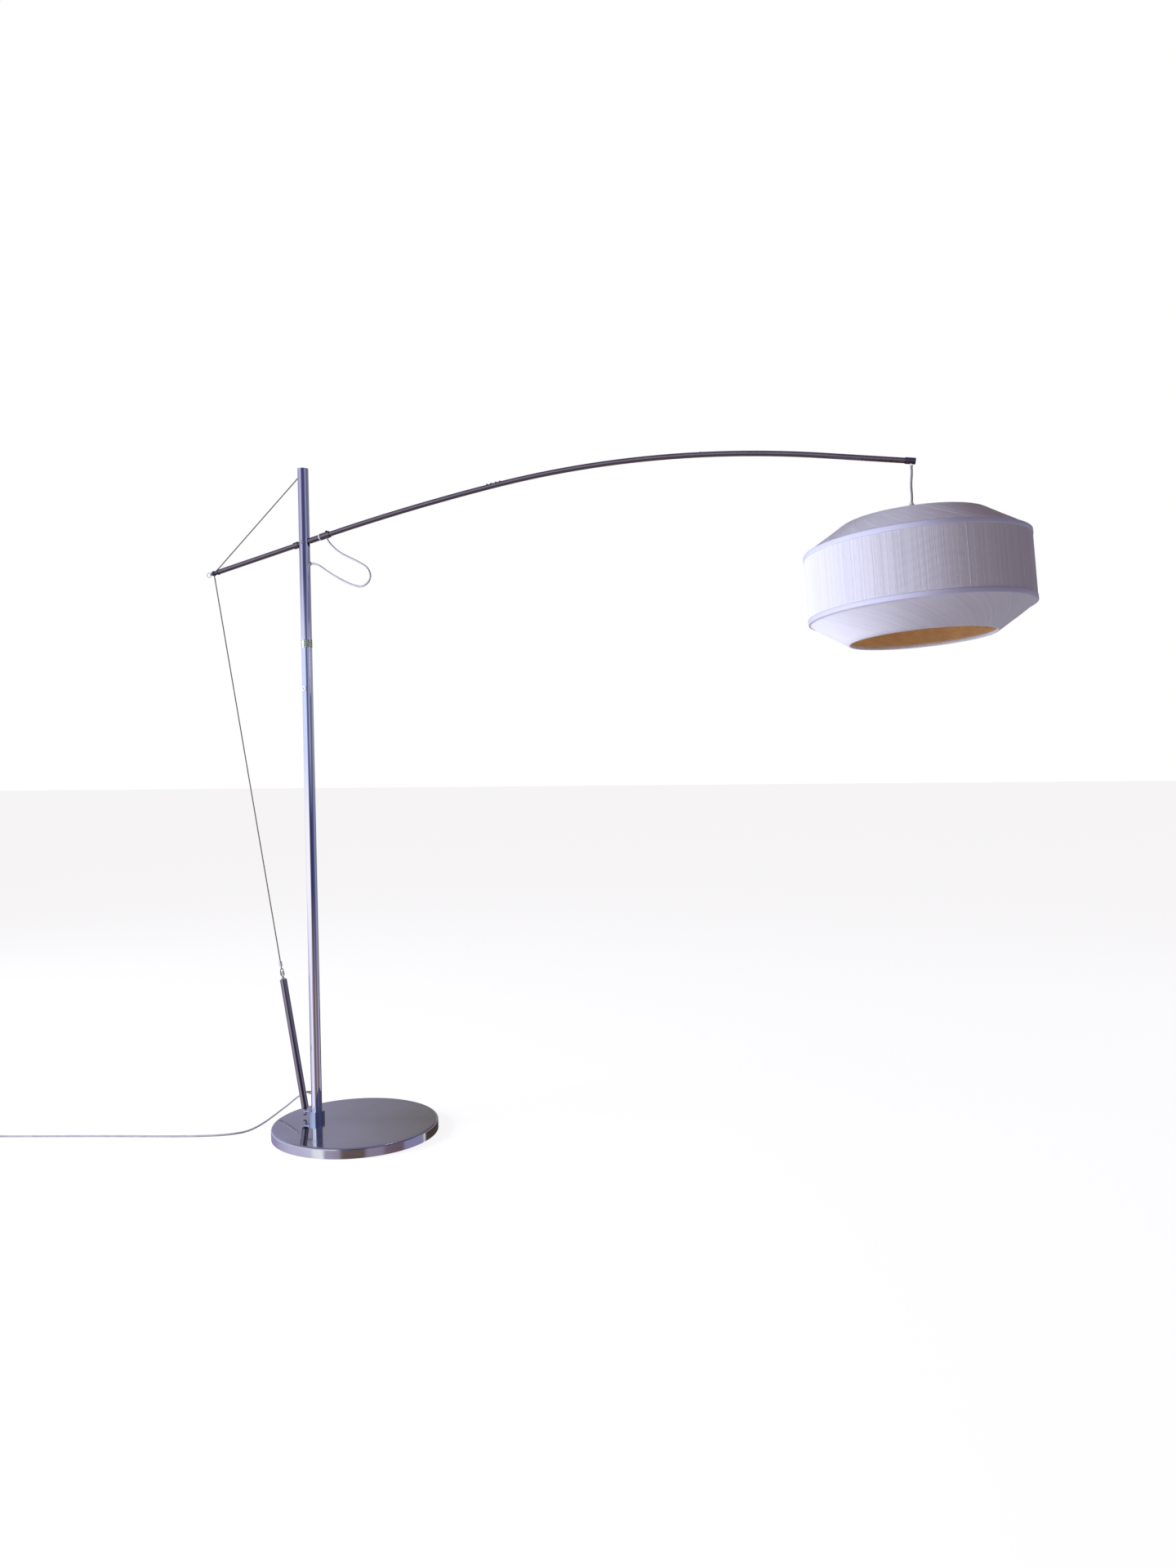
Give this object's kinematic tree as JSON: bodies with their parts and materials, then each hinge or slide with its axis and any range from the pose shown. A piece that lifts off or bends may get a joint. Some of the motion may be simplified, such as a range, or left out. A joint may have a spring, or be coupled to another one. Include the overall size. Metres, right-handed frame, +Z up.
{
  "type": "arc floor lamp",
  "caption": "Chromed arc floor lamp: a tubular mast on a heavy round base, a long tilting arm balanced by a sprung cable, and a string-wound shade.",
  "frame": {"origin": "centre of the base disc's underside, on the floor", "axes": "+Z up, +X from the base towards the shade under the arm, +Y to the side the pivot nut is on"},
  "size_m": [2.4922, 0.6253, 1.6154],
  "materials": {
    "chrome": "polished",
    "steel": "satin",
    "dark_steel": "satin",
    "iron": "rough",
    "felt": "felt",
    "white_flex": "smooth",
    "white_plastic": "glossy",
    "clear_plastic": "clear",
    "dark_plastic": "matte",
    "cable_sheath": "smooth",
    "string": "wound string",
    "tape": "woven",
    "lining": "matte",
    "white_wire": "enamel",
    "bulb_glass": "frosted"
  },
  "bodies": {
    "stand": {"base_cover": "chrome", "base_weight": "iron", "base_felt": "felt", "foot_bolt": "steel", "foot_collar": "chrome", "mast_foot_plug": "steel", "mast_lower": "chrome", "mast_upper": "chrome", "mast_sleeve": "steel", "mast_screws": "dark_steel", "mast_band": "clear_plastic", "mast_grommet": "white_plastic", "mast_cap": "chrome", "pivot_screw": "chrome", "pivot_nut": "chrome", "pivot_spacers": "white_plastic", "cord_outlet": "white_plastic", "cord_relief": "white_plastic", "mast_cord": "white_flex", "mains_cord": "white_flex", "cord_coil": "white_flex", "cord_tie": "dark_plastic", "plug": "white_plastic", "stay_stop": "steel"},
    "spring": {"spring_tube": "chrome", "tube_cap": "chrome", "tube_hook": "dark_steel"},
    "arm": {"rear_tube": "chrome", "arm_collars": "chrome", "coupling_washer": "white_plastic", "front_coupling": "chrome", "arm_section_1": "chrome", "arm_section_2": "chrome", "arm_section_3": "chrome", "joint_sleeves": "steel", "joint_screws": "dark_steel", "tip_cap": "dark_steel", "arm_cord": "white_flex", "cable_clamp": "dark_steel", "clamp_screw": "chrome", "stay_cable": "cable_sheath", "loop_cord": "white_flex"},
    "cable": {"pull_rod": "steel", "cable_ferrule": "chrome", "lower_cable": "cable_sheath", "balance_spring": "steel"},
    "pendant": {"tip_bush": "white_plastic"},
    "shade": {"pendant_cord": "white_flex", "cord_grip": "white_plastic", "holder_cap": "white_plastic", "holder_body": "white_plastic", "shade_ring": "white_plastic", "bulb": "bulb_glass", "shade_spider": "white_wire", "shade_frame": "white_wire", "shade_lining": "lining", "top_skin": "string", "band_skin": "string", "bottom_skin": "string", "shade_tapes": "tape"}
  },
  "joints": [
    {"name": "arm_tilt", "type": "hinge", "parent": "stand", "child": "arm", "pos_m": [-0.104, 0, 1.4365], "axis": [0, 1, 0], "range_deg": [0, 12], "deforming": ["stay_cable", "loop_cord"]},
    {"name": "spring_swing", "type": "hinge", "parent": "stand", "child": "spring", "pos_m": [-0.1345, 0, 0.04425], "axis": [0, 1, 0], "range_deg": [-0.3, 0.3]},
    {"name": "cable_pull", "type": "slide", "parent": "spring", "child": "cable", "axis": [-0.1632, 0, 0.9866], "range_m": [0, 0.0544], "deforming": ["balance_spring"]},
    {"name": "pendant_plumb", "type": "hinge", "parent": "arm", "child": "pendant", "pos_m": [1.31952, 0, 1.52107], "axis": [0, 1, 0], "range_deg": [-12, 0]},
    {"name": "shade_swing", "type": "hinge", "parent": "pendant", "child": "shade", "pos_m": [1.31952, 0, 1.50907], "axis": [0, 1, 0], "range_deg": [-15, 15], "deforming": ["pendant_cord"]}
  ],
  "couplings": [
    {"joint": "cable_pull", "follows": "arm_tilt", "m_per_rad": 0.25742},
    {"joint": "pendant_plumb", "follows": "arm_tilt", "ratio": -1},
    {"joint": "spring_swing", "follows": "arm_tilt", "ratio": 0.00542}
  ]
}
